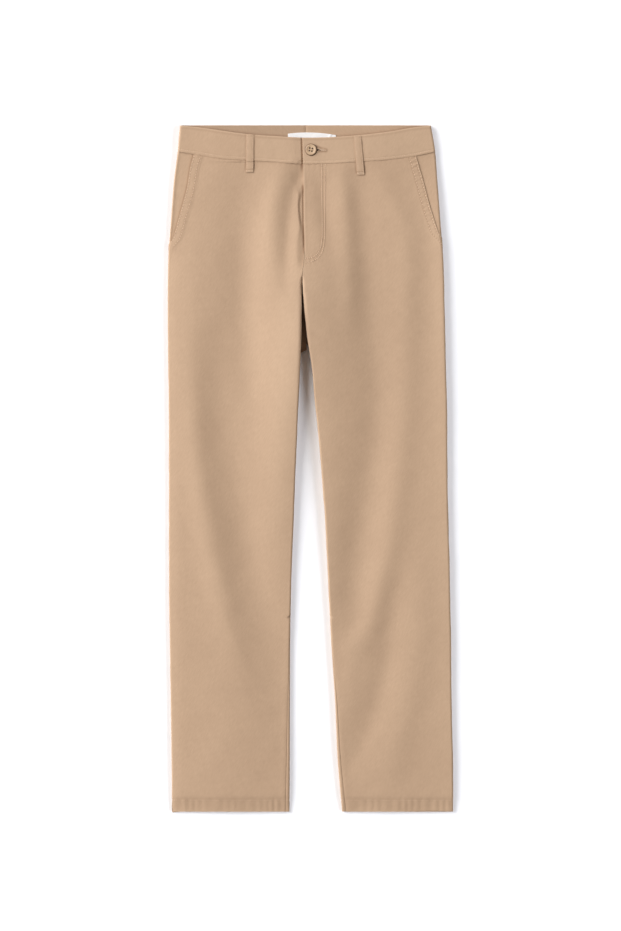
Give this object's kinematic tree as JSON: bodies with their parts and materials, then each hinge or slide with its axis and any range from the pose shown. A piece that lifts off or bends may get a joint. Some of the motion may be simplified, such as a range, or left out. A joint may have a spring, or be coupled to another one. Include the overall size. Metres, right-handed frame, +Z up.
{
  "type": "chino trousers",
  "caption": "Straight-leg chino trousers laid flat on their back, with slanted front pockets, belt loops and a lapped fly under a buttoned waistband.",
  "frame": {"origin": "on the surface under the middle of the laid garment", "axes": "+Z up out of the front, +Y towards the waist, +X towards the wearer's left side"},
  "size_m": [0.4419, 1.0628, 0.025],
  "materials": {
    "twill": "khaki cotton twill, garment washed, matt",
    "zip": "woven zip tape with a nylon coil",
    "button": "tan resin, softly polished",
    "label": "white woven satin"
  },
  "bodies": {
    "root": {"front_right": "twill", "front_left": "twill", "back_right": "twill", "back_left": "twill", "waistband_right": "twill", "waistband_left": "twill", "pocket_facing_right": "twill", "pocket_facing_left": "twill", "belt_loop_front_right": "twill", "belt_loop_front_left": "twill", "belt_loop_back_right": "twill", "belt_loop_back_centre": "twill", "belt_loop_back_left": "twill", "fly_zip": "zip", "waist_button": "button", "woven_label": "label"}
  },
  "joints": []
}
